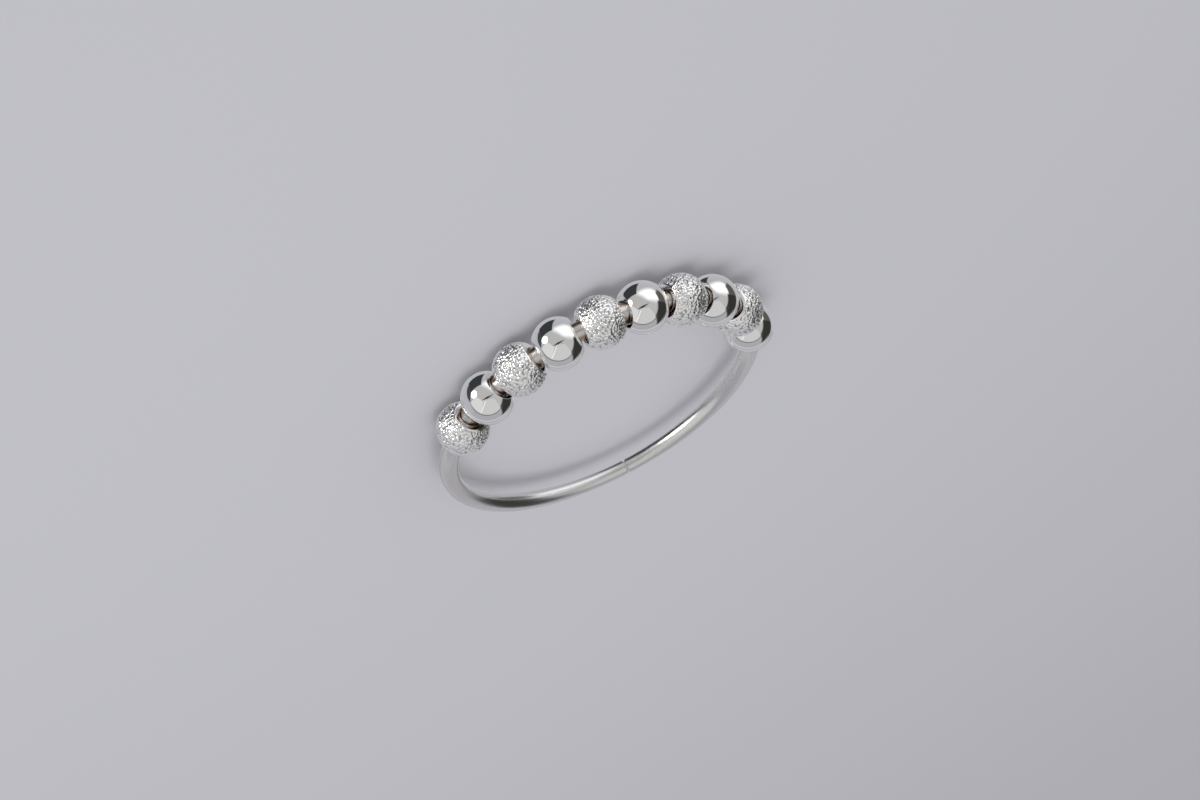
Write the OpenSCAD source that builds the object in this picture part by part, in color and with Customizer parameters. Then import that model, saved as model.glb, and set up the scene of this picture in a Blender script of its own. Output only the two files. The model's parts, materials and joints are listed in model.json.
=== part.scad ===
// Spinner ring: ten hollow silver beads turn and slide a little on one round
// wire, which is bent to a loop. Its two ends are thinner and butt together.
// The loop lies flat. Its centre is the origin, its axis is +Z, and the middle
// of the bead row lies along -Y with the first bead at the +X end.

/* [Wire] */
// Diameter of the wire loop, along the middle of the wire
loop_d = 19.3; // [16:0.1:23]
// Thickness of the wire
wire_d = 1.1; // [0.9:0.02:1.16]
// Thickness of the wire at its two thinner ends
end_d = 0.88; // [0.6:0.02:0.88]
// Turn over which each end of the wire gets thinner, in degrees
taper_turn = 52; // [10:1:60]
// Gap between the two ends of the wire
seam_gap = 0.06; // [0.02:0.01:0.3]
// Turn of the seam from the point opposite the bead row, in degrees
seam_turn = 17.6; // [-30:0.2:30]
// Width of the bevel round the edge of each end of the wire
end_bevel = 0.06; // [0.02:0.01:0.12]

/* [Beads] */
// Outer diameter of a bead
bead_d = 3; // [2.6:0.1:3.6]
// Thickness of a bead's silver wall
bead_wall = 0.16; // [0.12:0.02:0.2]
// Diameter of the hole through a bead
bore_d = 1.28; // [1.2:0.02:1.4]
// Width of the flat part of the collar round each hole
collar_w = 0.2; // [0.14:0.02:0.3]
// Clearance where a bead's hole comes closest to the wire
run_gap = 0.03; // [0.02:0.01:0.08]
// Mean gap between the collars of neighbouring beads
bead_gap = 0.09; // [0.04:0.01:0.2]

/* [Hidden] */

// How far each bead has slid along the wire from an even spacing, towards the
// last bead, as a share of bead_gap. There is one share for each bead, and no
// bead slides more than 0.6 of the gap towards its neighbour.
rests = [-0.1, 1.3, 0.7, 0.1, -0.5, -1.1, -1.5, -2.1, 0.1, 0.1];
row_angle = -90;

loop_r = loop_d / 2;
wire_r = wire_d / 2;
end_r = end_d / 2;
bead_r = bead_d / 2;
edge_r = bead_wall / 2;

// At each end of a bead its wall turns in to a flat collar round the hole. The
// middle of the collar's wall runs from the crease to the lip, collar_z from
// the middle of the bead, and edge_r rounds the wall at both places.
lip_r = bore_d / 2 + edge_r;
crease_r = lip_r + collar_w;
collar_z = sqrt(pow(bead_r - edge_r, 2) - pow(crease_r, 2));

// The wire curves away at the collars, so a bead hangs inwards of the wire
// until the outer side of its lips is run_gap away from the wire.
bead_circle_r = sqrt(pow(loop_r + wire_r + run_gap + edge_r, 2) - pow(collar_z, 2)) - lip_r;

// Neighbouring beads come closest at the inner side of their creases.
inner_crease = [bead_circle_r - crease_r, collar_z];
bead_pitch = 2 * (atan2(inner_crease.y, inner_crease.x)
    + asin((edge_r + bead_gap / 2) / norm(inner_crease)));
gap_turn = 2 * asin(bead_gap / 2 / norm(inner_crease));

seam_angle = -row_angle + seam_turn;
// Half of the angle that the seam takes up, and the angle of a bevel
seam_half_turn = atan2(seam_gap / 2, loop_r);
bevel_turn = atan2(end_bevel, loop_r);

arc_fn = 96;
silver = "silver";
frosted_silver = "gainsboro";

// Each thinner end of the wire is a chain of round cross-sections, from 0
// inside the full wire to taper_steps at the bevel.
taper_fn = 40;
taper_steps = 9;
// How far cross-section 0 lies inside the full wire, round it and along it
tuck = 0.004;
tuck_turn = 1;

function bead_angle(i) =
    row_angle + ((len(rests) + 1) / 2 - i) * bead_pitch - rests[i - 1] * gap_turn;
function taper_angle(i) = seam_half_turn + bevel_turn
    + (taper_turn + tuck_turn - bevel_turn) * (1 - i / taper_steps);
function taper_r(i) = end_r + (wire_r - tuck - end_r) * (1 + cos(180 * i / taper_steps)) / 2;
// A point on a cross-section, and the number of its corner j on cross-section k
function section_point(turn, radius, a) =
    [for (c = [cos(turn), sin(turn)]) (loop_r + radius * cos(a)) * c, radius * sin(a)];
function corner(k, j) = k * taper_fn + j % taper_fn;

// The end of the wire that lies anticlockwise from a seam at angle 0, with the
// bevel at its tip
module tapered_end() {
    turns = [for (i = [0 : taper_steps]) taper_angle(i), seam_half_turn];
    radii = [for (i = [0 : taper_steps]) taper_r(i), end_r - end_bevel];
    points = [for (k = [0 : len(turns) - 1], j = [0 : taper_fn - 1])
        section_point(turns[k], radii[k], 360 * j / taper_fn)];
    walls = [for (k = [0 : len(turns) - 2], j = [0 : taper_fn - 1])
        [corner(k, j), corner(k + 1, j), corner(k + 1, j + 1), corner(k, j + 1)]];
    inner_cap = [for (j = [0 : taper_fn - 1]) corner(0, j)];
    tip = [for (j = [0 : taper_fn - 1]) corner(len(turns) - 1, taper_fn - 1 - j)];
    polyhedron(points, concat(walls, [inner_cap, tip]));
}

// The wire from end to end: the full wire in the middle and a thinner end at
// each side of the seam
module shank() {
    full_from = seam_half_turn + taper_turn;
    color(silver) rotate([0, 0, seam_angle]) {
        rotate([0, 0, full_from]) rotate_extrude(angle = 360 - 2 * full_from, $fn = arc_fn)
            translate([loop_r, 0]) circle(r = wire_r, $fn = arc_fn);
        for (side = [0, 1]) mirror([0, side, 0]) tapered_end();
    }
}

// Half of a bead's section, with the hole along Y: a round wall that turns in
// to a flat collar at each end
module bead_section() {
    reach = bead_d / crease_r;
    intersection() {
        difference() {
            circle(r = bead_r, $fn = arc_fn);
            circle(r = bead_r - bead_wall, $fn = arc_fn);
        }
        polygon([[0, 0], reach * [crease_r, -collar_z], reach * [crease_r, collar_z]]);
    }
    for (side = [-1, 1]) {
        for (r = [lip_r, crease_r])
            translate([r, side * collar_z]) circle(r = edge_r, $fn = arc_fn);
        translate([lip_r, side * collar_z - edge_r]) square([collar_w, bead_wall]);
    }
}

// A bead in its place on the wire, with its hole along the wire
module bead(i) {
    rotate([0, 0, bead_angle(i)]) translate([bead_circle_r, 0, 0]) rotate([90, 0, 0])
        rotate_extrude($fn = arc_fn) bead_section();
}

module stardust_bead(i) {
    color(frosted_silver) bead(i);
}

module polished_bead(i) {
    color(silver) bead(i);
}

shank();
stardust_bead(1);  // stardust_bead_1
polished_bead(2);  // polished_bead_2
stardust_bead(3);  // stardust_bead_3
polished_bead(4);  // polished_bead_4
stardust_bead(5);  // stardust_bead_5
polished_bead(6);  // polished_bead_6
stardust_bead(7);  // stardust_bead_7
polished_bead(8);  // polished_bead_8
stardust_bead(9);  // stardust_bead_9
polished_bead(10);  // polished_bead_10
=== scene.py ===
"""Spinner ring: the polished wire, the mirror beads and the frosted stardust beads, in a small studio.

Lengths are in metres in Blender. The part's frame gives each bead's place and the way it turns.
"""

import json
from math import cos, pi, radians, sin

import bpy
from bpy.props import (
    FloatProperty,
    FloatVectorProperty,
    IntProperty,
    PointerProperty,
)
from mathutils import Matrix, Vector


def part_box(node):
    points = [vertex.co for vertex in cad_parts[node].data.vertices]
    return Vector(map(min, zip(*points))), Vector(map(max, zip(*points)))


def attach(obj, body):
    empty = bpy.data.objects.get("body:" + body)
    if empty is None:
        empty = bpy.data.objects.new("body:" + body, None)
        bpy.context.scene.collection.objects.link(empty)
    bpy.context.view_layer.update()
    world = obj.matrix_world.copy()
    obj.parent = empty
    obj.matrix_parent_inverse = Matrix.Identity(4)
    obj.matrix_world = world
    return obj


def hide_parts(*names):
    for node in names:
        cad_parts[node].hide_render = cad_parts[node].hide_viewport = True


bl_info = {
    "name": "Spinner ring",
    "version": (1, 0, 0),
    "blender": (4, 5, 0),
    "location": "3D View > Sidebar > Spinner ring",
    "description": "Builds a beaded silver spinner ring and a small studio for it",
    "category": "Add Mesh",
}

MM = 0.001

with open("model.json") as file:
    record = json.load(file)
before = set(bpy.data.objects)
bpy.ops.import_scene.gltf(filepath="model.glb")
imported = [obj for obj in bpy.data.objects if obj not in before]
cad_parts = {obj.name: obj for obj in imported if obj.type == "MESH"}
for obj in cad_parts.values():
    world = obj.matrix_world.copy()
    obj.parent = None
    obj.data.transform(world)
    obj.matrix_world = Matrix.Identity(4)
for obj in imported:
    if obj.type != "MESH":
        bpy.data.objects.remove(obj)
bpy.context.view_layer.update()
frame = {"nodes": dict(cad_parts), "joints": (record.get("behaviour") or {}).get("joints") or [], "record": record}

BEAD_JOINTS = {joint["child"]: joint for joint in frame["joints"]}
BODY_OF_NODE = {
    node: body
    for body, nodes in frame["record"]["behaviour"]["bodies"].items()
    for node in nodes
}
WIRE_NODE = "shank"
MIRROR_NODES = sorted(n for n in frame["nodes"] if n.startswith("polished_bead"))
FROSTED_NODES = sorted(n for n in frame["nodes"] if n.startswith("stardust_bead"))


def length(name, description, default_mm):
    """A length property, given in millimetres and kept in metres."""
    return FloatProperty(
        name=name,
        description=description,
        default=default_mm * MM,
        min=0.0,
        precision=5,
        unit="LENGTH",
    )


def angle(name, description, default_degrees, **limits):
    """An angle property, given in degrees and kept in radians."""
    return FloatProperty(
        name=name, description=description, default=radians(default_degrees), subtype="ANGLE", **limits
    )


def colour(name, description, default):
    return FloatVectorProperty(
        name=name, description=description, default=default, size=3, min=0.0, max=1.0, subtype="COLOR"
    )


def roughness(name, description, default):
    return FloatProperty(
        name=name, description=description, default=default, min=0.0, max=1.0, subtype="FACTOR"
    )


def count(name, description, default, least):
    return IntProperty(name=name, description=description, default=default, min=least)


class WireSettings(bpy.types.PropertyGroup):
    loop_diameter: length("Loop diameter", "Across the loop, along the middle of the wire", 19.3)
    thickness: length("Thickness", "Thickness of the round wire", 1.1)
    end_thickness: length("End thickness", "Thickness of the wire at its two thinner ends", 0.88)
    taper: angle("Taper", "Turn over which each end of the wire gets thinner", 53.0, min=0.01)
    seam_gap: length("Seam gap", "Gap between the two ends of the wire", 0.06)
    seam_bevel: length("Seam bevel", "Width of the bevel round each end of the wire", 0.06)
    seam_angle: angle("Seam angle", "Where the ends meet, counted from +X towards +Y", 107.6)
    # Middle of the stripe where the painted warm shade on the threaded wire is left off, counted up from the
    # wire's outer side
    unshaded_side: angle("Unshaded side", "Where the wire is rubbed cleanest, counted up from its outer side", 25.0)
    rings: count("Rings", "Rings of faces along the wire", 400, 60)
    sides: count("Sides", "Faces round the wire", 40, 12)


class BeadSettings(bpy.types.PropertyGroup):
    diameter: length("Diameter", "Outer diameter of a bead", 3.0)
    wall: length("Wall", "Thickness of the bead's silver wall", 0.16)
    bore: length("Bore", "Diameter of the hole through a bead", 1.28)
    collar: length("Collar", "Width of the flat part of the collar round each hole", 0.2)
    mirror_rows: count("Mirror rows", "Rows of faces on a mirror bead's wall", 40, 8)
    mirror_turns: count("Mirror turns", "Faces round a mirror bead", 112, 16)


class GrainSettings(bpy.types.PropertyGroup):
    size: length("Grain size", "Width of one crumb of the stardust grain", 0.165)
    height: length("Grain height", "How far a crumb stands out of the hollows round it", 0.072)
    margin: length("Margin", "Smooth width left between the grain and each collar", 0.02)
    fray: length("Fray", "How unevenly the grain ends at the collar", 0.03)
    rows: count("Rows", "Rows of faces on a stardust bead's wall", 124, 16)
    turns: count("Turns", "Faces round a stardust bead", 440, 32)
    seed: count("Seed", "Starting point of the random grain", 5, 0)


class FinishSettings(bpy.types.PropertyGroup):
    silver: colour("Silver", "Colour of the polished silver", (0.93, 0.926, 0.918))
    frosted: colour("Frosted silver", "Colour of the stardust crumbs", (0.97, 0.967, 0.96))
    # Painted shade: the darker tone put in the hollows between the crumbs
    crevice_shade: colour("Crevice", "Tone of the hollows between the crumbs", (0.46, 0.46, 0.46))
    wire: colour("Wire silver", "Colour of the polished wire", (0.79, 0.788, 0.783))
    # Painted warm shade on the wire between the beads; smudges anywhere on the wire take a little of this tone as
    # real dirt
    threaded: colour("Threaded wire", "Warm tone of the wire under the beads", (0.47, 0.345, 0.268))
    # Painted warm shade inside the beads, the silver there also a little tarnished
    shade_and_tarnish: colour("Tarnish", "Warm tone inside the beads", (0.55, 0.41, 0.32))
    mirror_roughness: roughness("Mirror roughness", "Roughness of the mirror polish", 0.035)
    wire_roughness: roughness("Wire roughness", "Roughness of the polished wire", 0.25)
    grain_roughness: roughness("Grain roughness", "Roughness of a stardust crumb", 0.04)


class StageSettings(bpy.types.PropertyGroup):
    floor: colour("Floor", "Colour of the pale floor", (0.475, 0.475, 0.503))
    backdrop: colour("Backdrop", "Colour of the soft light all round", (0.78, 0.78, 0.8))
    softbox_power: FloatProperty(
        name="Softbox power",
        description="Light of the large softbox overhead",
        default=0.12,
        min=0.0,
        unit="POWER",
    )
    lens_distance: length("Lens distance", "From the lens to the point that it aims at", 171.955)
    lens_azimuth: angle("Lens azimuth", "Turn of the lens round the ring from the beads' middle", 20.957)
    lens_elevation: angle("Lens elevation", "Height of the lens above the plane of the ring", 24.851)
    lens_roll: angle("Lens roll", "Turn of the picture round the lens axis", 150.969)


class RingSettings(bpy.types.PropertyGroup):
    wire: PointerProperty(type=WireSettings)
    bead: PointerProperty(type=BeadSettings)
    grain: PointerProperty(type=GrainSettings)
    finish: PointerProperty(type=FinishSettings)
    stage: PointerProperty(type=StageSettings)


class NodeGraph:
    """A short way to write a node tree.

    Each call adds a node, joins its inputs and gives back one of its outputs, which is the first
    where the call names no other.
    """

    def __init__(self, tree):
        self.tree = tree

    def add(self, kind, inputs=None, out=0, **settings):
        """Adds a node. An out of None gives back the node itself."""
        node = self.tree.nodes.new(kind)
        for name, value in settings.items():
            setattr(node, name, value)
        for key, value in (inputs or {}).items():
            self.feed(node.inputs[key], value)
        return node if out is None else node.outputs[out]

    def feed(self, socket, value):
        """Joins an input to one output or to each of a list, or gives it a fixed value."""
        if isinstance(value, bpy.types.NodeSocket):
            self.tree.links.new(value, socket)
        elif isinstance(value, list):
            for one in value:
                self.tree.links.new(one, socket)
        else:
            socket.default_value = value

    def math(self, operation, *values):
        return self.add("ShaderNodeMath", dict(enumerate(values)), operation=operation)

    def vector(self, operation, *values, out=0):
        return self.add("ShaderNodeVectorMath", dict(enumerate(values)), out=out, operation=operation)

    def dot(self, first, second):
        return self.vector("DOT_PRODUCT", first, second, out="Value")

    def size_of(self, vector):
        return self.vector("LENGTH", vector, out="Value")

    def scaled(self, vector, scale):
        return self.add("ShaderNodeVectorMath", {0: vector, "Scale": scale}, operation="SCALE")

    def combine(self, x=0.0, y=0.0, z=0.0):
        return self.add("ShaderNodeCombineXYZ", {"X": x, "Y": y, "Z": z})

    def separate(self, vector):
        node = self.add("ShaderNodeSeparateXYZ", {"Vector": vector}, out=None)
        return node.outputs["X"], node.outputs["Y"], node.outputs["Z"]

    def between(self, value, low, high, to_low=0.0, to_high=1.0, smooth=True):
        """The way of value from low to high, put between to_low and to_high and held there."""
        inputs = {"Value": value, "From Min": low, "From Max": high, "To Min": to_low, "To Max": to_high}
        kind = "SMOOTHSTEP" if smooth else "LINEAR"
        return self.add("ShaderNodeMapRange", inputs, clamp=True, interpolation_type=kind)

    def mix_colour(self, share, first, second):
        """A mix of two colours, which a Mix node takes at its inputs 6 and 7 and gives at its output 2."""
        return self.add("ShaderNodeMix", {"Factor": share, 6: first, 7: second}, out=2, data_type="RGBA")


def new_group(name, kind, inputs, outputs):
    """A node group with named sockets: its graph, its input sockets by name and the node that ends it."""
    tree = bpy.data.node_groups.new(name, kind)
    for socket_name, (socket_kind, default) in inputs.items():
        socket = tree.interface.new_socket(socket_name, in_out="INPUT", socket_type=socket_kind)
        if default is not None:
            socket.default_value = default
    for socket_name, socket_kind in outputs.items():
        tree.interface.new_socket(socket_name, in_out="OUTPUT", socket_type=socket_kind)
    entry = tree.nodes.new("NodeGroupInput")
    end = tree.nodes.new("NodeGroupOutput")
    return NodeGraph(tree), {socket.name: socket for socket in entry.outputs if socket.name}, end


FLOAT, INTEGER, VECTOR = "NodeSocketFloat", "NodeSocketInt", "NodeSocketVector"
COLOUR, ROTATION = "NodeSocketColor", "NodeSocketRotation"
GEOMETRY, MATERIAL = "NodeSocketGeometry", "NodeSocketMaterial"


def finish_geometry(graph, end, geometry, material):
    """Ends a geometry tree: instances made real and the material set."""
    geometry = graph.add("GeometryNodeRealizeInstances", {"Geometry": geometry})
    geometry = graph.add("GeometryNodeSetMaterial", {"Geometry": geometry, "Material": material})
    graph.feed(end.inputs["Geometry"], geometry)


def stored(graph, geometry, name, value):
    """Keeps a number at each point, for the material to read."""
    inputs = {"Geometry": geometry, "Name": name, "Value": value}
    return graph.add("GeometryNodeStoreNamedAttribute", inputs, data_type="FLOAT", domain="POINT")


def shaded(graph, geometry, smooth, selection=True):
    inputs = {"Geometry": geometry, "Selection": selection, "Shade Smooth": smooth}
    return graph.add("GeometryNodeSetShadeSmooth", inputs)


WIRE_INPUTS = {
    "Loop radius": (FLOAT, 0.01),
    "Thickness": (FLOAT, 0.001),
    "End thickness": (FLOAT, 0.001),
    "Taper": (FLOAT, 1.0),
    "Seam angle": (FLOAT, 0.0),
    "Seam gap": (FLOAT, 0.0001),
    "Bevel": (FLOAT, 0.0001),
    "Rings": (INTEGER, 200),
    "Sides": (INTEGER, 24),
    "Row middle": (VECTOR, None),
    "Row half turn": (FLOAT, 1.0),
    # Middle of the stripe where the painted warm shade is left off, as a direction in the wire's section, outwards
    # and up
    "Unshaded side": (VECTOR, None),
    "Material": (MATERIAL, None),
}
# Turn over which the painted warm shade on the threaded wire fades at each end of the bead row
THREADED_FADE = 0.02
# The stripe along the wire where the painted warm shade is left off, in turns from its middle:
# fully off up to the first, and not off at all from the second on
SHADE_OFF_FULL, SHADE_OFF_NONE = radians(8.0), radians(46.0)
QUAD_CORNERS = 4


def wire_path(graph, given):
    """The arc between the two bevels, and the thickness along it as a share of the full one."""
    half_seam = graph.math("MULTIPLY_ADD", given["Seam gap"], 0.5, given["Bevel"])
    half_turn = graph.math("ARCSINE", graph.math("DIVIDE", half_seam, given["Loop radius"]))
    sweep = graph.math("MULTIPLY_ADD", half_turn, -2.0, 2 * pi)
    path = graph.add(
        "GeometryNodeCurveArc",
        {
            "Resolution": given["Rings"],
            "Radius": given["Loop radius"],
            "Start Angle": graph.math("ADD", given["Seam angle"], half_turn),
            "Sweep Angle": sweep,
        },
        mode="RADIUS",
    )
    along = graph.add("GeometryNodeSplineParameter", out="Length")
    turn = graph.math("DIVIDE", along, given["Loop radius"])
    to_tip = graph.math("MINIMUM", turn, graph.math("SUBTRACT", sweep, turn))
    end_share = graph.math("DIVIDE", given["End thickness"], given["Thickness"])
    share = graph.between(to_tip, 0.0, given["Taper"], end_share, 1.0)
    path = stored(graph, path, "along", along)
    outward = graph.vector("NORMALIZE", graph.add("GeometryNodeInputPosition"))
    off_middle = graph.math("ARCCOSINE", graph.dot(outward, given["Row middle"]))
    row_end = given["Row half turn"]
    fades_from = graph.math("SUBTRACT", row_end, THREADED_FADE)
    # 1 where the beads sit on the wire: where the material puts its painted warm shade
    path = stored(graph, path, "threaded", graph.between(off_middle, row_end, fades_from))
    return path, share


def unshaded_stripe(graph, given, wire_radius):
    """1 along the side of the wire where the painted warm shade is left off, and 0 away from it."""
    east, north, height = graph.separate(graph.add("GeometryNodeInputPosition"))
    from_axis = graph.size_of(graph.combine(east, north))
    in_section = graph.combine(graph.math("SUBTRACT", from_axis, given["Loop radius"]), height)
    towards = graph.math("DIVIDE", graph.dot(in_section, given["Unshaded side"]), wire_radius)
    return graph.between(towards, cos(SHADE_OFF_NONE), cos(SHADE_OFF_FULL))


def bevelled_tips(graph, given, tube):
    """The tube with each flat end drawn out and narrowed to a bevel."""
    corners = graph.add("GeometryNodeCornersOfFace", out="Total")
    # A Compare node takes whole numbers at its inputs 2 and 3.
    is_cap = graph.add(
        "FunctionNodeCompare", {2: corners, 3: QUAD_CORNERS}, data_type="INT", operation="GREATER_THAN"
    )
    drawn_out = graph.add(
        "GeometryNodeExtrudeMesh",
        {"Mesh": tube, "Selection": is_cap, "Offset Scale": given["Bevel"], "Individual": False},
        out=None,
        mode="FACES",
    ).outputs
    end_radius = graph.math("DIVIDE", given["End thickness"], 2.0)
    narrower = graph.math("SUBTRACT", 1.0, graph.math("DIVIDE", given["Bevel"], end_radius))
    bevelled = graph.add(
        "GeometryNodeScaleElements",
        {"Geometry": drawn_out["Mesh"], "Selection": drawn_out["Top"], "Scale": narrower},
        domain="FACE",
    )
    flat = graph.add("FunctionNodeBooleanMath", {0: drawn_out["Top"], 1: drawn_out["Side"]}, operation="OR")
    return shaded(graph, bevelled, False, flat)


def wire_tree():
    """A round wire bent to a loop. It gets thinner towards a bevelled end on each side of the seam."""
    graph, given, end = new_group("Bent wire", "GeometryNodeTree", WIRE_INPUTS, {"Geometry": GEOMETRY})
    wire_radius = graph.math("DIVIDE", given["Thickness"], 2.0)
    path, share = wire_path(graph, given)
    section = graph.add(
        "GeometryNodeCurvePrimitiveCircle", {"Resolution": given["Sides"], "Radius": wire_radius}
    )
    section = stored(graph, section, "around", graph.add("GeometryNodeSplineParameter", out="Factor"))
    tube = graph.add(
        "GeometryNodeCurveToMesh",
        {"Curve": path, "Profile Curve": section, "Scale": share, "Fill Caps": True},
    )
    tube = stored(graph, tube, "rubbed", unshaded_stripe(graph, given, wire_radius))
    tube = bevelled_tips(graph, given, shaded(graph, tube, True))
    finish_geometry(graph, end, tube, given["Material"])
    return graph.tree


BEAD_INPUTS = {
    "Diameter": (FLOAT, 0.003),
    "Wall": (FLOAT, 0.0002),
    "Bore": (FLOAT, 0.0013),
    "Collar": (FLOAT, 0.0002),
    "Rows": (INTEGER, 32),
    "Turns": (INTEGER, 64),
    "Place": (VECTOR, None),
    "Turn": (ROTATION, None),
    "Material": (MATERIAL, None),
}
CREASE_POINTS, LIP_POINTS, INNER_POINTS = 8, 12, 13
# Shares of a lip's arc between which the outer side of the bead becomes its inside
LIP_OUTSIDE, LIP_INSIDE = 0.55, 0.95
# Points closer than this are joined to one
WELD = 1e-7


def arc(graph, points, radius, start, sweep, depth, centre=None):
    """An arc of a bead's section, moved to its centre. Depth is 0 outside the bead and 1 inside it."""
    curve = graph.add(
        "GeometryNodeCurveArc",
        {"Resolution": points, "Radius": radius, "Start Angle": start, "Sweep Angle": sweep},
        mode="RADIUS",
    )
    curve = stored(graph, curve, "depth", depth)
    if centre is None:
        return curve
    return graph.add("GeometryNodeTransform", {"Geometry": curve, "Translation": centre})


def lip_depth(graph, inwards):
    """The depth along a lip's arc, which runs into the bead or out of it."""
    share = graph.add("GeometryNodeSplineParameter", out="Factor")
    if not inwards:
        share = graph.math("SUBTRACT", 1.0, share)
    return graph.between(share, LIP_OUTSIDE, LIP_INSIDE)


def bead_section(graph, given):
    """The outline of a bead's wall from the outer side round, and how far along the bore it reaches."""
    edge = graph.math("DIVIDE", given["Wall"], 2.0)
    outer = graph.math("DIVIDE", given["Diameter"], 2.0)
    inner = graph.math("SUBTRACT", outer, given["Wall"])
    lip = graph.math("MULTIPLY_ADD", given["Bore"], 0.5, edge)
    crease = graph.math("ADD", lip, given["Collar"])
    middle_squared = graph.math("POWER", graph.math("SUBTRACT", outer, edge), 2.0)
    crease_squared = graph.math("POWER", crease, 2.0)
    collar = graph.math("SQRT", graph.math("SUBTRACT", middle_squared, crease_squared))
    below = graph.math("MULTIPLY", collar, -1.0)
    slope = graph.math("ARCTAN2", collar, crease)
    slope_below, wall_sweep = graph.math("MULTIPLY", slope, -1.0), graph.math("MULTIPLY", slope, 2.0)
    crease_sweep = graph.math("SUBTRACT", pi / 2, slope)
    inner_share = graph.math("DIVIDE", graph.math("SUBTRACT", collar, edge), inner)
    inner_slope = graph.math("ARCSINE", inner_share)
    inner_sweep = graph.math("MULTIPLY", inner_slope, -2.0)
    going_in, coming_out = lip_depth(graph, True), lip_depth(graph, False)
    pieces = [
        arc(graph, given["Rows"], outer, slope_below, wall_sweep, 0.0),
        arc(graph, CREASE_POINTS, edge, slope, crease_sweep, 0.0, graph.combine(crease, collar)),
        arc(graph, LIP_POINTS, edge, pi / 2, pi, going_in, graph.combine(lip, collar)),
        arc(graph, INNER_POINTS, inner, inner_slope, inner_sweep, 1.0),
        arc(graph, LIP_POINTS, edge, pi / 2, pi, coming_out, graph.combine(lip, below)),
        arc(graph, CREASE_POINTS, edge, -pi / 2, crease_sweep, 0.0, graph.combine(crease, below)),
    ]
    outline = pieces[0]
    for piece in pieces[1:]:
        outline = graph.add("GeometryNodeJoinGeometry", {"Geometry": [piece, outline]})
    return outline, graph.math("MULTIPLY", outer, graph.math("SINE", slope))


def bead_shell(graph, given):
    """The section turned round the bore, which runs along Y, and how far the wall reaches along it."""
    outline, wall_end = bead_section(graph, given)
    size = graph.add("GeometryNodeAttributeDomainSize", {"Geometry": outline}, component="CURVE")
    columns = graph.math("ADD", given["Turns"], 1)
    grid = graph.add(
        "GeometryNodeMeshGrid", {"Size X": 1.0, "Size Y": 1.0, "Vertices X": size, "Vertices Y": columns}
    )
    place = graph.add("GeometryNodeInputPosition")
    # The grid lies round the origin, so half of its side is added to count from its corner.
    row_share, turn_share, _ = graph.separate(graph.vector("ADD", place, (0.5, 0.5, 0.5)))
    row = graph.math("ROUND", graph.math("MULTIPLY", row_share, graph.math("SUBTRACT", size, 1.0)))
    depth = graph.add("GeometryNodeInputNamedAttribute", {"Name": "depth"}, data_type="FLOAT")
    depth = graph.add(
        "GeometryNodeSampleIndex", {"Geometry": outline, "Value": depth, "Index": row}, data_type="FLOAT"
    )
    shell = stored(graph, grid, "inside", depth)
    on_outline = graph.add(
        "GeometryNodeSampleIndex",
        {"Geometry": outline, "Value": place, "Index": row},
        data_type="FLOAT_VECTOR",
        domain="POINT",
    )
    turned = graph.add(
        "ShaderNodeVectorRotate",
        {
            "Vector": on_outline,
            "Axis": (0.0, 1.0, 0.0),
            "Angle": graph.math("MULTIPLY", turn_share, 2 * pi),
        },
        rotation_type="AXIS_ANGLE",
    )
    shell = graph.add("GeometryNodeSetPosition", {"Geometry": shell, "Position": turned})
    shell = graph.add("GeometryNodeMergeByDistance", {"Geometry": shell, "Distance": WELD})
    shell = graph.add("GeometryNodeFlipFaces", {"Mesh": shell})
    return shell, wall_end


def smooth_and_place(graph, given, end, shell):
    """Ends a bead's tree: the shell made smooth and threaded on the wire."""
    inputs = {
        "Geometry": shaded(graph, shell, True),
        "Translation": given["Place"],
        "Rotation": given["Turn"],
    }
    finish_geometry(graph, end, graph.add("GeometryNodeTransform", inputs), given["Material"])


def mirror_bead_tree():
    graph, given, end = new_group("Mirror bead", "GeometryNodeTree", BEAD_INPUTS, {"Geometry": GEOMETRY})
    shell, _ = bead_shell(graph, given)
    smooth_and_place(graph, given, end, shell)
    return graph.tree


GRAIN_INPUTS = {
    "Grain size": (FLOAT, 0.0001),
    "Grain height": (FLOAT, 0.00005),
    "Margin": (FLOAT, 0.0001),
    "Fray": (FLOAT, 0.0001),
    "Seed": (FLOAT, 0.0),
}
# A bead's seed shifts the pattern along X by itself and along Y by this share of it
SEED_SLANT = 0.37
# How finely and how far the pattern of crumbs is bent, with a crumb as the unit
BEND_SCALE, BEND_REACH = 1.3, 0.5
CRUMB_RANDOMNESS = 0.95
# Where a crumb ends, with a crumb as the unit, and how full its dome is
CRUMB_REACH, DOME_FULLNESS = 0.8, 2.6
# Height of the lowest crumb as a share of the tallest
LOWEST_CRUMB = 0.65
# How finely the grain's edge is frayed, with a crumb as the unit, and how strongly
FRAY_SCALE, FRAY_GAIN = 0.35, 4.0


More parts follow.
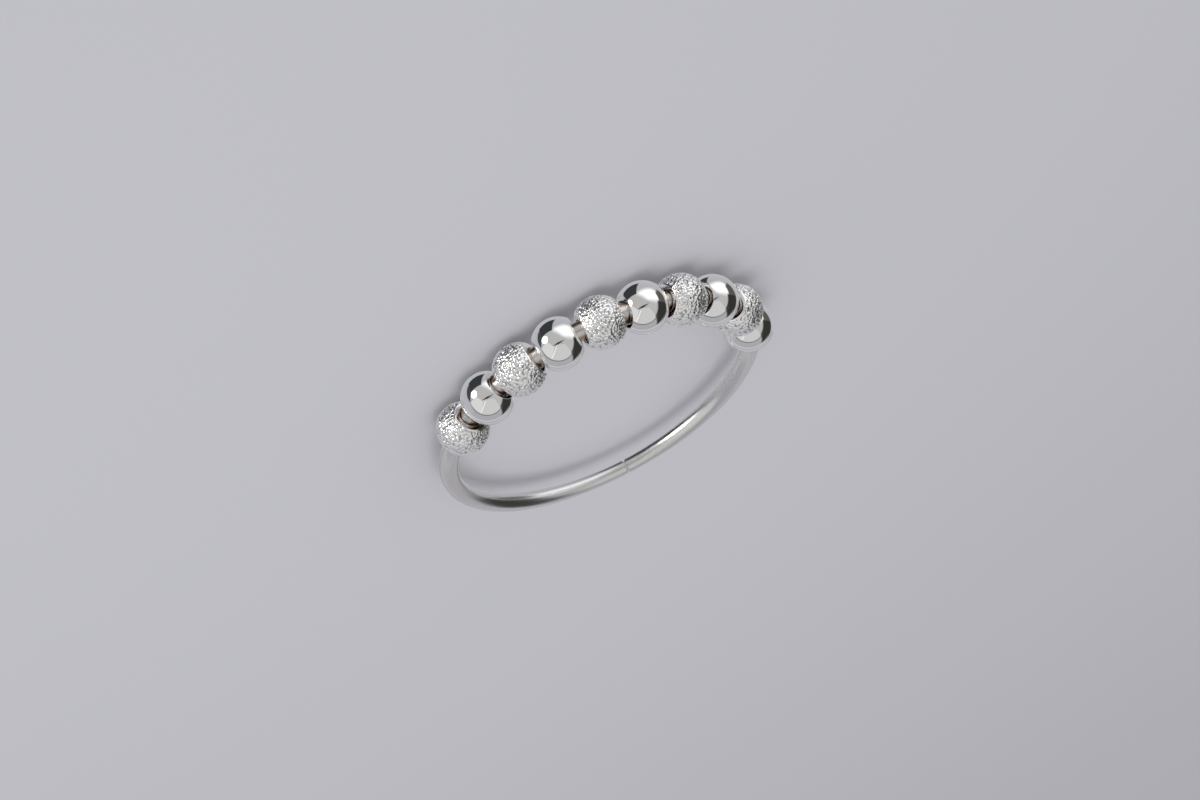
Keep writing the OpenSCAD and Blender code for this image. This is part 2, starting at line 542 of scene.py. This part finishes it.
def crumbs(graph, given):
    """Rounded crumbs of uneven height, between 0 in the hollows and 1 on the tallest crumb."""
    per_crumb = graph.math("DIVIDE", 1.0, given["Grain size"])
    shift = graph.combine(given["Seed"], graph.math("MULTIPLY", given["Seed"], SEED_SLANT), 0.0)
    where = graph.vector("ADD", graph.scaled(graph.add("GeometryNodeInputPosition"), per_crumb), shift)
    bend = graph.add(
        "ShaderNodeTexNoise",
        {"Vector": where, "Scale": BEND_SCALE, "Detail": 1.0},
        out="Color",
        noise_dimensions="3D",
    )
    where = graph.vector("ADD", where, graph.scaled(bend, BEND_REACH))
    cells = graph.add(
        "ShaderNodeTexVoronoi",
        {"Vector": where, "Scale": 1.0, "Randomness": CRUMB_RANDOMNESS},
        out=None,
        voronoi_dimensions="3D",
        feature="F1",
    ).outputs
    from_middle = graph.between(cells["Distance"], 0.0, CRUMB_REACH, smooth=False)
    dome = graph.math("SUBTRACT", 1.0, graph.math("POWER", from_middle, DOME_FULLNESS))
    chance, _, _ = graph.separate(cells["Color"])
    return graph.math("MULTIPLY", dome, graph.between(chance, 0.0, 1.0, LOWEST_CRUMB, 1.0, smooth=False))


def grained_area(graph, given, wall_end):
    """1 on the outer side of the wall, 0 on the collars and inside, with a frayed edge between."""
    place = graph.add("GeometryNodeInputPosition")
    ragged = graph.add(
        "ShaderNodeTexNoise",
        {
            "Vector": graph.vector("ADD", place, graph.combine(given["Seed"])),
            "Scale": graph.math("DIVIDE", FRAY_SCALE, given["Grain size"]),
            "Detail": 2.0,
        },
    )
    frayed = graph.math("MULTIPLY", graph.math("SUBTRACT", ragged, 0.5), given["Fray"])
    frayed = graph.math("MULTIPLY", frayed, FRAY_GAIN)
    _, along, _ = graph.separate(place)
    reach = graph.math("ADD", graph.math("ABSOLUTE", along), frayed)
    grain_ends = graph.math("SUBTRACT", wall_end, given["Margin"])
    fades_from = graph.math("SUBTRACT", grain_ends, given["Fray"])
    on_wall = graph.between(reach, grain_ends, fades_from)
    outer = graph.math("DIVIDE", given["Diameter"], 2.0)
    middle = graph.math("MULTIPLY_ADD", given["Wall"], -0.5, outer)
    outside = graph.between(graph.size_of(place), middle, outer)
    return graph.math("MULTIPLY", on_wall, outside)


def stardust_bead_tree():
    """A bead whose wall is lifted on the crumbs and sunk in the hollows between them."""
    inputs = {**BEAD_INPUTS, **GRAIN_INPUTS}
    graph, given, end = new_group("Stardust bead", "GeometryNodeTree", inputs, {"Geometry": GEOMETRY})
    shell, wall_end = bead_shell(graph, given)
    grained = grained_area(graph, given, wall_end)
    crumb = crumbs(graph, given)
    lift = graph.math("MULTIPLY", graph.math("SUBTRACT", crumb, 0.5), given["Grain height"])
    outward = graph.vector("NORMALIZE", graph.add("GeometryNodeInputPosition"))
    offset = graph.scaled(outward, graph.math("MULTIPLY", lift, grained))
    # Depth of the hollows, which the material darkens with painted shade
    hollow = graph.math("MULTIPLY", graph.math("SUBTRACT", 1.0, crumb), grained)
    shell = stored(graph, shell, "hollow", hollow)
    shell = stored(graph, shell, "grained", grained)
    shell = graph.add("GeometryNodeSetPosition", {"Geometry": shell, "Offset": offset})
    smooth_and_place(graph, given, end, shell)
    return graph.tree


def grown(tree, name, values):
    """Runs a geometry tree once and gives its result as a plain mesh object with that name."""
    seedling = bpy.data.objects.new(name + "_seedling", bpy.data.meshes.new(name + "_seedling"))
    bpy.context.scene.collection.objects.link(seedling)
    modifier = seedling.modifiers.new("Build", "NODES")
    modifier.node_group = tree
    for item in tree.interface.items_tree:
        if item.item_type == "SOCKET" and item.in_out == "INPUT":
            modifier[item.identifier] = values[item.name]
    graph = bpy.context.evaluated_depsgraph_get()
    mesh = bpy.data.meshes.new_from_object(seedling.evaluated_get(graph))
    if not mesh.polygons:
        raise RuntimeError(f"{name} came out empty")
    mesh.name = name
    start = seedling.data
    bpy.data.objects.remove(seedling)
    bpy.data.meshes.remove(start)
    piece = bpy.data.objects.new(name, mesh)
    bpy.context.scene.collection.objects.link(piece)
    return piece


def seat(piece, node):
    """Lets a finished piece stand for its CAD node and move with that node's body."""
    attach(piece, BODY_OF_NODE[node])
    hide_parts(node)


WEAR_NAME = "Silver wear"
# Scratches are drawn out along the axes with the lower numbers
SCRATCH_STRETCH = (1.0, 0.22, 0.55)
# Levels of the noise between which a smudge begins and is full
SMUDGE_BEGINS, SMUDGE_FULL = 0.45, 0.75


def new_wear_group():
    graph, given, end = new_group(
        WEAR_NAME,
        "ShaderNodeTree",
        {
            "Vector": (VECTOR, None),
            "Scratch size": (FLOAT, 0.00004),
            "Smudge size": (FLOAT, 0.001),
            "Base roughness": (FLOAT, 0.05),
            "Smudge roughness": (FLOAT, 0.03),
        },
        {"Height": FLOAT, "Roughness": FLOAT, "Smudge": FLOAT},
    )
    fine = graph.math("DIVIDE", 1.0, given["Scratch size"])
    stretched = graph.vector("MULTIPLY", given["Vector"], SCRATCH_STRETCH)
    scratches = graph.add("ShaderNodeTexNoise", {"Vector": stretched, "Scale": fine, "Detail": 2.0})
    coarse = graph.math("DIVIDE", 1.0, given["Smudge size"])
    smudges = graph.add("ShaderNodeTexNoise", {"Vector": given["Vector"], "Scale": coarse, "Detail": 3.0})
    smudge = graph.between(smudges, SMUDGE_BEGINS, SMUDGE_FULL)
    rough = graph.math("MULTIPLY_ADD", smudge, given["Smudge roughness"], given["Base roughness"])
    graph.feed(end.inputs["Height"], scratches)
    graph.feed(end.inputs["Roughness"], rough)
    graph.feed(end.inputs["Smudge"], smudge)
    return graph.tree


def wear(graph, inputs):
    """Fine scratches and smudges that every silver surface has a little of, from one shared group."""
    group = bpy.data.node_groups.get(WEAR_NAME) or new_wear_group()
    return graph.add("ShaderNodeGroup", inputs, out=None, node_tree=group).outputs


# How much duller the inside of a bead and its hollows are than its polish
DULLNESS = 0.25
# Depth of the hollows between which their painted shade begins and is full, and how full it gets
CREVICE_BEGINS, CREVICE_FULL, CREVICE_SHARE = 0.55, 0.9, 0.8
# Strength of the fine relief on a stardust bead's collars and on its crumbs
COLLAR_RELIEF, CRUMB_RELIEF = 0.03, 0.3
# Length of the wear pattern that a metre along the wire and one turn round it pass over
PATTERN_ALONG, PATTERN_AROUND = 0.06, 0.0025
# Share of the painted warm shade that the unshaded stripe takes off the threaded wire, and share of the same tone
# that a smudge puts on it as real dirt
SHADE_LIFTED, SMUDGED_ON = 0.8, 0.2


def new_silver(name):
    """A metal material, with its graph and its shader."""
    material = bpy.data.materials.new(name)
    material.use_nodes = True
    shader = material.node_tree.nodes["Principled BSDF"]
    shader.inputs["Metallic"].default_value = 1.0
    return material, NodeGraph(material.node_tree), shader


def dress(graph, shader, tone, rough, relief):
    """Joins a silver's tone, roughness and fine relief to its shader."""
    graph.feed(shader.inputs["Base Color"], tone)
    graph.feed(shader.inputs["Roughness"], rough)
    graph.feed(shader.inputs["Normal"], graph.add("ShaderNodeBump", relief))


def rgba(value):
    return (*value, 1.0)


def attribute(graph, name):
    return graph.add("ShaderNodeAttribute", out="Fac", attribute_name=name)


def mirror_material(finish):
    """Mirror polish outside and a duller inside with painted warm shade, the silver there a little tarnished."""
    material, graph, shader = new_silver("Mirror silver")
    worn = wear(
        graph,
        {
            "Vector": graph.add("ShaderNodeTexCoord", out="Object"),
            "Scratch size": 0.00003,
            "Smudge size": 0.0009,
            "Base roughness": finish.mirror_roughness,
            "Smudge roughness": 0.03,
        },
    )
    inside = attribute(graph, "inside")
    # Painted warm shade on the inside of the bead, which is also a little tarnished
    tone = graph.mix_colour(inside, rgba(finish.silver), rgba(finish.shade_and_tarnish))
    rough = graph.math("MULTIPLY_ADD", inside, DULLNESS, worn["Roughness"])
    dress(graph, shader, tone, rough, {"Height": worn["Height"], "Strength": 0.04, "Distance": 0.000004})
    return material


def stardust_material(finish):
    """Bright crumbs with painted shade in the hollows between them, smooth collars and a duller inside with
    painted warm shade, the silver there a little tarnished.
    """
    material, graph, shader = new_silver("Stardust silver")
    worn = wear(
        graph,
        {
            "Vector": graph.add("ShaderNodeTexCoord", out="Object"),
            "Scratch size": 0.000025,
            "Smudge size": 0.0007,
            "Base roughness": finish.grain_roughness,
            "Smudge roughness": 0.04,
        },
    )
    inside, hollow = attribute(graph, "inside"), attribute(graph, "hollow")
    # Painted shade darkens the hollows between the crumbs; the same share also makes them duller
    crevice_shade = graph.between(hollow, CREVICE_BEGINS, CREVICE_FULL, 0.0, CREVICE_SHARE)
    tone = graph.mix_colour(crevice_shade, rgba(finish.frosted), rgba(finish.crevice_shade))
    # Painted warm shade on the inside of the bead, which is also a little tarnished
    tone = graph.mix_colour(inside, tone, rgba(finish.shade_and_tarnish))
    dull = graph.math("MAXIMUM", inside, crevice_shade)
    rough = graph.math("MULTIPLY_ADD", dull, DULLNESS, worn["Roughness"])
    strength = graph.between(attribute(graph, "grained"), 0.0, 1.0, COLLAR_RELIEF, CRUMB_RELIEF)
    dress(graph, shader, tone, rough, {"Height": worn["Height"], "Strength": strength, "Distance": 0.00001})
    return material


def wire_material(finish):
    """Drawn wire with marks along it. Between the beads it has painted warm shade, left off along a stripe on one
    side, and smudges give it a little of the same tone.
    """
    material, graph, shader = new_silver("Wire silver")
    drawn = graph.combine(
        graph.math("MULTIPLY", attribute(graph, "along"), PATTERN_ALONG),
        graph.math("MULTIPLY", attribute(graph, "around"), PATTERN_AROUND),
        0.0,
    )
    worn = wear(
        graph,
        {
            "Vector": drawn,
            "Scratch size": 0.00003,
            "Smudge size": 0.0012,
            "Base roughness": finish.wire_roughness,
            "Smudge roughness": 0.06,
        },
    )
    # Painted warm shade on the threaded wire, mostly left off along the unshaded stripe; smudges add a little of
    # the same tone as real dirt
    kept = graph.math("MULTIPLY_ADD", attribute(graph, "rubbed"), -SHADE_LIFTED, 1.0)
    warm = graph.math("MULTIPLY", attribute(graph, "threaded"), kept)
    warm = graph.math("MAXIMUM", warm, graph.math("MULTIPLY", worn["Smudge"], SMUDGED_ON))
    tone = graph.mix_colour(warm, rgba(finish.wire), rgba(finish.threaded))
    relief = {"Height": worn["Height"], "Strength": 0.12, "Distance": 0.000006}
    dress(graph, shader, tone, worn["Roughness"], relief)
    return material


def settings():
    return bpy.context.scene.spinner_ring


# How far past its middle an end bead covers the wire, as a share of its diameter
COVERED_SHARE = 0.3


def bead_row(bead):
    """The direction from the loop's centre to the middle of the row, and half of the angle that it takes."""
    places = [Vector(joint["pos_m"]) for joint in BEAD_JOINTS.values()]
    middle = sum(places, Vector()).normalized()
    covered = COVERED_SHARE * bead.diameter
    return middle, max(place.angle(middle) + covered / place.length for place in places)


class RING_OT_wire(bpy.types.Operator):
    """Bends the round wire and closes it at the seam"""

    bl_idname = "spinner_ring.wire"
    bl_label = "Build the wire"

    def execute(self, context):
        wire = settings().wire
        middle, half_turn = bead_row(settings().bead)
        values = {
            "Loop radius": wire.loop_diameter / 2,
            "Thickness": wire.thickness,
            "End thickness": wire.end_thickness,
            "Taper": wire.taper,
            "Seam angle": wire.seam_angle,
            "Seam gap": wire.seam_gap,
            "Bevel": wire.seam_bevel,
            "Rings": wire.rings,
            "Sides": wire.sides,
            "Row middle": tuple(middle),
            "Row half turn": half_turn,
            "Unshaded side": (cos(wire.unshaded_side), sin(wire.unshaded_side), 0.0),
            "Material": wire_material(settings().finish),
        }
        seat(grown(wire_tree(), "wire_loop", values), WIRE_NODE)
        return {"FINISHED"}


def number_of(node):
    return int(node.rsplit("_", 1)[1])


def bead_values(node, material):
    """The inputs that both kinds of bead share, with the place and turn of that bead's own joint."""
    bead = settings().bead
    joint = BEAD_JOINTS[BODY_OF_NODE[node]]
    turn = Vector((0.0, 1.0, 0.0)).rotation_difference(Vector(joint["axis"]))
    return {
        "Diameter": bead.diameter,
        "Wall": bead.wall,
        "Bore": bead.bore,
        "Collar": bead.collar,
        "Place": tuple(joint["pos_m"]),
        "Turn": tuple(turn.to_euler()),
        "Material": material,
    }


class RING_OT_mirror_beads(bpy.types.Operator):
    """Turns the mirror-polished beads and threads them on the wire"""

    bl_idname = "spinner_ring.mirror_beads"
    bl_label = "Build the mirror beads"

    def execute(self, context):
        bead = settings().bead
        material = mirror_material(settings().finish)
        tree = mirror_bead_tree()
        for node in MIRROR_NODES:
            values = bead_values(node, material)
            values.update({"Rows": bead.mirror_rows, "Turns": bead.mirror_turns})
            piece = grown(tree, f"mirror_bead_{number_of(node)}", values)
            seat(piece, node)
        return {"FINISHED"}


# Step between the seeds of neighbouring beads
SEED_STEP = 7


class RING_OT_stardust_beads(bpy.types.Operator):
    """Turns the stardust beads, raises their grain and threads them on the wire"""

    bl_idname = "spinner_ring.stardust_beads"
    bl_label = "Build the stardust beads"

    def execute(self, context):
        grain = settings().grain
        material = stardust_material(settings().finish)
        tree = stardust_bead_tree()
        shared = {
            "Rows": grain.rows,
            "Turns": grain.turns,
            "Grain size": grain.size,
            "Grain height": grain.height,
            "Margin": grain.margin,
            "Fray": grain.fray,
        }
        for node in FROSTED_NODES:
            seed = float(grain.seed + SEED_STEP * number_of(node))
            values = {**bead_values(node, material), **shared, "Seed": seed}
            piece = grown(tree, f"frosted_bead_{number_of(node)}", values)
            seat(piece, node)
        return {"FINISHED"}


def linear(level):
    """The linear share of a display level between 0 and 255."""
    share = level / 255
    return share / 12.92 if share <= 0.04045 else ((share + 0.055) / 1.055) ** 2.4


def shade(red, green, blue, gain=1.0):
    return (gain * linear(red), gain * linear(green), gain * linear(blue), 1.0)


# The light tent round the ring: the corners of each card, its light and the width of its soft
# edge. A corner is (degrees off the lens axis, clock angle in degrees from the right of the
# picture), and corners run anticlockwise. Later cards lie over earlier ones.
TENT = {
    "lower back": ([(122, 190), (122, 350), (165, 350), (165, 190)], shade(150, 150, 155), 0.3),
    "lower sweep": ([(74, 225), (74, 315), (122, 315), (122, 225)], shade(172, 172, 178), 0.25),
    "lower right card": ([(10, 215), (76, 248), (82, 315), (70, 5)], shade(206, 206, 205), 0.03),
    "lower left card": ([(45, 172), (76, 196), (76, 249), (15, 215)], shade(219, 219, 218), 0.03),
    "seam": ([(15, 240), (70, 246), (70, 250), (15, 254)], shade(244, 244, 242), 0.02),
    "right card": ([(20, 20), (84, 322), (84, 10), (62, 30)], shade(188, 188, 187), 0.08),
    "middle card": ([(22, 215), (27, 50), (64, 114), (66, 160)], shade(186, 185, 182), 0.03),
    "bright card": ([(36, 50), (84, 16), (100, 60), (64, 114)], shade(255, 255, 255, 1.12), 0.42),
    "upper left gap": ([(64, 114), (124, 97), (118, 143), (76, 160)], shade(54, 58, 61), 0.05),
    "left gap": ([(72, 158), (112, 147), (92, 178), (78, 196)], shade(68, 71, 73), 0.05),
    "right gap": ([(70, 326), (116, 308), (122, 16), (72, 24)], shade(52, 52, 50), 0.16),
    "upper right gap": ([(80, 20), (122, 12), (112, 52), (88, 48)], shade(92, 88, 82), 0.12),
    "lens gap": ([(26, 207), (4, 300), (32, 30), (5, 110)], shade(66, 63, 58), 0.025),
}
CARD_SIDES = range(1, 5)
# The tent's haze beyond the cards, to the sides and behind the ring, and the levels of the way
# back to the lens between which one becomes the other
HAZE_BESIDE, HAZE_BEHIND = shade(180, 179, 186), shade(190, 190, 194)
HAZE_BEGINS, HAZE_ENDS = 0.2, -1.0
# Round bands below the lens axis: degrees off it, half of the width and the light
LOWER_BANDS = [(79, 3, shade(104, 104, 105)), (117, 5, shade(214, 214, 217))]
# Levels of the way up the picture between which the bands begin and are full
BANDS_BEGIN, BANDS_FULL = -0.25, -0.7
# The round lamp: its place as a corner, its radius and soft edge in degrees, and its light
LAMP_PLACE, LAMP_RADIUS, LAMP_EDGE = (60, 165), 12, 3
LAMP_LIGHT = shade(255, 253, 250, 7.0)


def tent_direction(off_axis, clock):
    """A direction in the tent's frame: X to the picture's right, Y up it and Z back towards the lens."""
    off, turn = radians(off_axis), radians(clock)
    return Vector((sin(off) * cos(turn), sin(off) * sin(turn), cos(off)))


def card_group():
    """One card of the tent over what lies behind it. Its edges are the planes through its corners."""
    graph, given, end = new_group(
        "Tent card",
        "ShaderNodeTree",
        {
            "Behind": (COLOUR, None),
            "Direction": (VECTOR, None),
            **{f"Edge {side}": (VECTOR, None) for side in CARD_SIDES},
            "Light": (COLOUR, None),
            "Blur": (FLOAT, 0.05),
        },
        {"Color": COLOUR},
    )
    half = graph.math("MULTIPLY", given["Blur"], 0.5)
    minus_half = graph.math("MULTIPLY", half, -1.0)
    inside = 1.0
    for side in CARD_SIDES:
        height = graph.dot(given["Direction"], given[f"Edge {side}"])
        inside = graph.math("MULTIPLY", inside, graph.between(height, minus_half, half))
    graph.feed(end.inputs["Color"], graph.mix_colour(inside, given["Behind"], given["Light"]))
    return graph.tree


def paint_card(graph, group, behind, direction, corners, light, blur):
    points = [tent_direction(*corner) for corner in corners]
    centre = sum(points, Vector())
    inputs = {"Behind": behind, "Direction": direction, "Light": light, "Blur": blur}
    for side, start, stop in zip(CARD_SIDES, points, points[1:] + points[:1]):
        edge = start.cross(stop).normalized()
        inputs[f"Edge {side}"] = edge if edge.dot(centre) > 0 else -edge
    return graph.add("ShaderNodeGroup", inputs, out="Color", node_tree=group)


def paint_bands(graph, tent, up, back):
    for off_axis, half_width, light in LOWER_BANDS:
        rising, falling = [
            graph.between(back, cos(radians(off_axis + side * half_width)), cos(radians(off_axis + side)))
            for side in (1, -1)
        ]
        band = graph.math("MULTIPLY", rising, falling)
        band = graph.math("MULTIPLY", band, graph.between(up, BANDS_BEGIN, BANDS_FULL))
        tent = graph.mix_colour(band, tent, light)
    return tent


def hang_lamp(graph, tent, direction):
    near = graph.dot(direction, tent_direction(*LAMP_PLACE))
    begins, full = cos(radians(LAMP_RADIUS + LAMP_EDGE)), cos(radians(LAMP_RADIUS - LAMP_EDGE))
    return graph.mix_colour(graph.between(near, begins, full), tent, LAMP_LIGHT)


def lens_matrix(stage):
    """The camera's turn: its columns are the picture's right, up and the way back to the lens."""
    azimuth, elevation = stage.lens_azimuth, stage.lens_elevation
    back = Vector((sin(azimuth) * cos(elevation), -cos(azimuth) * cos(elevation), sin(elevation)))
    level = (-back).to_track_quat("-Z", "Y").to_matrix()
    return level @ Matrix.Rotation(stage.lens_roll, 3, "Z")


def tent_world(stage):
    """Plain soft light for the floor, and a tent of cards with gaps between them for the metal to mirror."""
    world = bpy.data.worlds.new("Studio")
    world.use_nodes = True
    world.cycles.sampling_method = "NONE"
    graph = NodeGraph(world.node_tree)
    to_tent = lens_matrix(stage).transposed().to_euler()
    direction = graph.add(
        "ShaderNodeVectorRotate",
        {"Vector": graph.add("ShaderNodeTexCoord", out="Generated"), "Rotation": tuple(to_tent)},
        rotation_type="EULER_XYZ",
    )
    direction = graph.vector("NORMALIZE", direction)
    _, up, back = graph.separate(direction)
    tent = graph.mix_colour(graph.between(back, HAZE_BEGINS, HAZE_ENDS), HAZE_BESIDE, HAZE_BEHIND)
    group = card_group()
    for corners, light, blur in TENT.values():
        tent = paint_card(graph, group, tent, direction, corners, light, blur)
    tent = hang_lamp(graph, paint_bands(graph, tent, up, back), direction)
    is_mirrored = graph.add("ShaderNodeLightPath", out="Is Glossy Ray")
    background = world.node_tree.nodes["Background"]
    graph.feed(background.inputs["Color"], graph.mix_colour(is_mirrored, rgba(stage.backdrop), tent))
    bpy.context.scene.world = world


FLOOR_RADIUS, FLOOR_CORNERS = 3.0, 96
FLOOR_ROUGHNESS, FLOOR_GLOSS = 0.9, 0.1


def floor_material(stage):
    material = bpy.data.materials.new("Pale floor")
    material.use_nodes = True
    shader = material.node_tree.nodes["Principled BSDF"]
    shader.inputs["Base Color"].default_value = rgba(stage.floor)
    shader.inputs["Roughness"].default_value = FLOOR_ROUGHNESS
    shader.inputs["Specular IOR Level"].default_value = FLOOR_GLOSS
    return material


def lay_floor(stage):
    """A wide round floor that the beads rest on, and that the metal doesn't mirror."""
    level = min(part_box(node)[0].z for node in MIRROR_NODES + FROSTED_NODES)
    level = min(level, -settings().bead.diameter / 2)
    turns = [2 * pi * corner / FLOOR_CORNERS for corner in range(FLOOR_CORNERS)]
    rim = [(FLOOR_RADIUS * cos(turn), FLOOR_RADIUS * sin(turn), level) for turn in turns]
    mesh = bpy.data.meshes.new("floor")
    mesh.from_pydata(rim, [], [list(range(FLOOR_CORNERS))])
    floor = bpy.data.objects.new("floor", mesh)
    floor.data.materials.append(floor_material(stage))
    floor.visible_glossy = False
    bpy.context.scene.collection.objects.link(floor)


SOFTBOX_SIZE = 160 * MM
SOFTBOX_PLACE = Vector((50, -30, 170)) * MM


def hang_softbox(stage):
    """One large softbox overhead, for the soft shadow under the ring."""
    light = bpy.data.lights.new("softbox", "AREA")
    light.shape = "DISK"
    light.size = SOFTBOX_SIZE
    light.energy = stage.softbox_power
    softbox = bpy.data.objects.new("softbox", light)
    softbox.location = SOFTBOX_PLACE
    softbox.rotation_euler = SOFTBOX_PLACE.to_track_quat("Z", "Y").to_euler()
    softbox.visible_glossy = False
    softbox.visible_camera = False
    bpy.context.scene.collection.objects.link(softbox)


# The point that the lens aims at, its focal length and its film width in millimetres, and how
# near it sees
AIM = Vector((0.163, -0.472, 0.0)) * MM
FOCAL_LENGTH, FILM_WIDTH = 90.0, 36.0
NEAREST = 5 * MM


def set_camera(stage):
    data = bpy.data.cameras.new("camera")
    data.lens = FOCAL_LENGTH
    data.sensor_width = FILM_WIDTH
    data.clip_start = NEAREST
    camera = bpy.data.objects.new("camera", data)
    turn = lens_matrix(stage)
    place = AIM + turn @ Vector((0.0, 0.0, stage.lens_distance))
    camera.matrix_world = Matrix.Translation(place) @ turn.to_4x4()
    bpy.context.scene.collection.objects.link(camera)
    bpy.context.scene.camera = camera


class RING_OT_stage(bpy.types.Operator):
    """Lays the pale floor and sets the soft light and the camera"""

    bl_idname = "spinner_ring.stage"
    bl_label = "Set the stage"

    def execute(self, context):
        stage = settings().stage
        tent_world(stage)
        lay_floor(stage)
        hang_softbox(stage)
        set_camera(stage)
        context.scene.view_settings.view_transform = "Standard"
        return {"FINISHED"}


OPERATORS = (RING_OT_wire, RING_OT_mirror_beads, RING_OT_stardust_beads, RING_OT_stage)


class RING_PT_panel(bpy.types.Panel):
    bl_idname = "RING_PT_panel"
    bl_label = "Spinner ring"
    bl_space_type = "VIEW_3D"
    bl_region_type = "UI"
    bl_category = "Spinner ring"

    def draw(self, context):
        for operator in OPERATORS:
            self.layout.operator(operator.bl_idname)


CLASSES = (
    WireSettings,
    BeadSettings,
    GrainSettings,
    FinishSettings,
    StageSettings,
    RingSettings,
    *OPERATORS,
    RING_PT_panel,
)


def register():
    for each in CLASSES:
        bpy.utils.register_class(each)
    bpy.types.Scene.spinner_ring = PointerProperty(type=RingSettings)


def unregister():
    del bpy.types.Scene.spinner_ring
    for each in reversed(CLASSES):
        bpy.utils.unregister_class(each)


def main():
    register()
    bpy.ops.spinner_ring.wire()
    bpy.ops.spinner_ring.mirror_beads()
    bpy.ops.spinner_ring.stardust_beads()
    bpy.ops.spinner_ring.stage()


if __name__ == "__main__":
    main()
